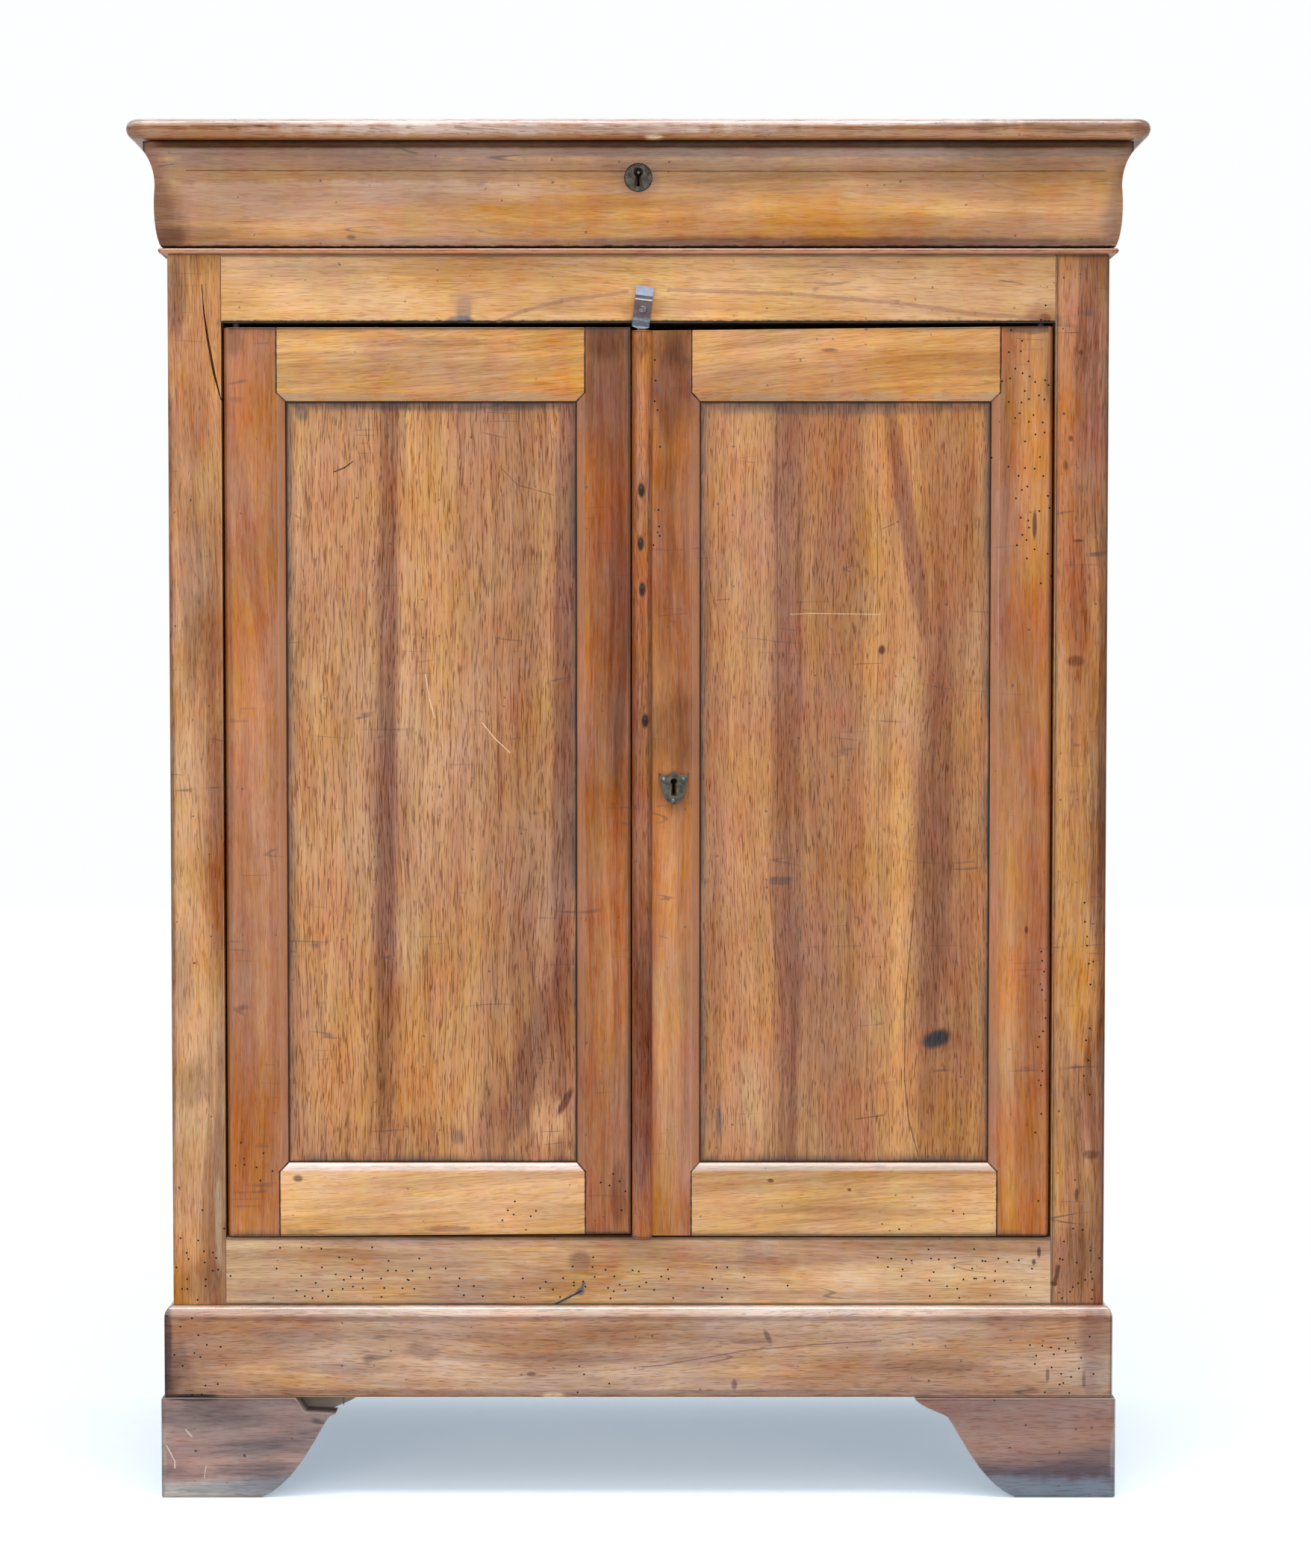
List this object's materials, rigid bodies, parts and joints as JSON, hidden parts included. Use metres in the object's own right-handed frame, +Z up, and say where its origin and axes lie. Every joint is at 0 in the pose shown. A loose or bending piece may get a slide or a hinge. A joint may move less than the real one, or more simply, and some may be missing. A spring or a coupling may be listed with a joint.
{
  "type": "side cabinet",
  "caption": "Walnut side cabinet with an ogee-fronted drawer over framed doors, a rounded plinth and bracket feet; doors swing, drawer slides, latch turns.",
  "frame": {"origin": "on the floor under the middle of the top board", "axes": "+Z up, -Y towards the front, +X to the right seen from the front"},
  "size_m": [0.992, 0.47, 1.3518],
  "materials": {
    "walnut": "waxed, worn",
    "dark_walnut": "waxed, worn",
    "panel_walnut": "waxed, worn",
    "plain_wood": "bare",
    "iron": "dark, rubbed",
    "old_brass": "tarnished"
  },
  "bodies": {
    "carcass": {"top_board": "walnut", "left_frieze_side": "walnut", "right_frieze_side": "walnut", "drawer_rail_bead": "walnut", "left_drawer_runner": "plain_wood", "right_drawer_runner": "plain_wood", "left_front_post": "walnut", "right_front_post": "walnut", "left_back_post": "plain_wood", "right_back_post": "plain_wood", "left_side_panel": "panel_walnut", "right_side_panel": "panel_walnut", "upper_front_rail": "walnut", "lower_front_rail": "walnut", "case_bottom": "plain_wood", "shelf": "plain_wood", "left_shelf_cleat": "plain_wood", "right_shelf_cleat": "plain_wood", "back_board_left": "plain_wood", "back_board_right": "plain_wood", "left_top_pivot": "iron", "left_bottom_pivot": "iron", "right_top_pivot": "iron", "right_bottom_pivot": "iron", "turn_button_screw": "iron", "plinth_front": "walnut", "plinth_left": "walnut", "plinth_right": "walnut", "plinth_back": "plain_wood", "front_left_foot": "dark_walnut", "front_left_foot_return": "dark_walnut", "front_left_foot_backing": "plain_wood", "front_right_foot": "dark_walnut", "front_right_foot_return": "dark_walnut", "front_right_foot_backing": "plain_wood", "back_left_foot": "dark_walnut", "back_right_foot": "dark_walnut"},
    "drawer": {"drawer_front": "walnut", "drawer_left_side": "plain_wood", "drawer_right_side": "plain_wood", "drawer_back": "plain_wood", "drawer_bottom": "plain_wood", "drawer_key_bush": "old_brass", "drawer_lock_case": "iron"},
    "drawer_bolt": {"drawer_lock_bolt": "iron"},
    "left_door": {"left_door_hinge_stile": "dark_walnut", "left_door_meeting_stile": "dark_walnut", "left_door_top_rail": "walnut", "left_door_bottom_rail": "walnut", "left_door_panel": "panel_walnut"},
    "right_door": {"right_door_hinge_stile": "dark_walnut", "right_door_meeting_stile": "dark_walnut", "right_door_top_rail": "walnut", "right_door_bottom_rail": "walnut", "right_door_panel": "panel_walnut", "meeting_bead": "dark_walnut", "door_escutcheon": "old_brass", "door_lock_case": "iron"},
    "door_bolt": {"door_lock_bolt": "iron"},
    "turn_button": {"turn_button": "iron"}
  },
  "joints": [
    {"name": "drawer_slide", "type": "slide", "parent": "carcass", "child": "drawer", "axis": [0, -1, 0], "range_m": [0, 0.28]},
    {"name": "drawer_bolt_slide", "type": "slide", "parent": "drawer", "child": "drawer_bolt", "axis": [0, 0, 1], "range_m": [0, 0.007]},
    {"name": "left_door_hinge", "type": "hinge", "parent": "carcass", "child": "left_door", "pos_m": [-0.3953, -0.1885, 0.257], "axis": [0, 0, -1], "range_deg": [0, 95]},
    {"name": "right_door_hinge", "type": "hinge", "parent": "carcass", "child": "right_door", "pos_m": [0.3953, -0.1885, 0.257], "axis": [0, 0, 1], "range_deg": [0, 95]},
    {"name": "door_bolt_slide", "type": "slide", "parent": "right_door", "child": "door_bolt", "axis": [-1, 0, 0], "range_m": [0, 0.01]},
    {"name": "turn_button_turn", "type": "hinge", "parent": "carcass", "child": "turn_button", "pos_m": [0.0041, -0.2, 1.1716], "axis": [0, 1, 0], "range_deg": [-90, 90]}
  ]
}
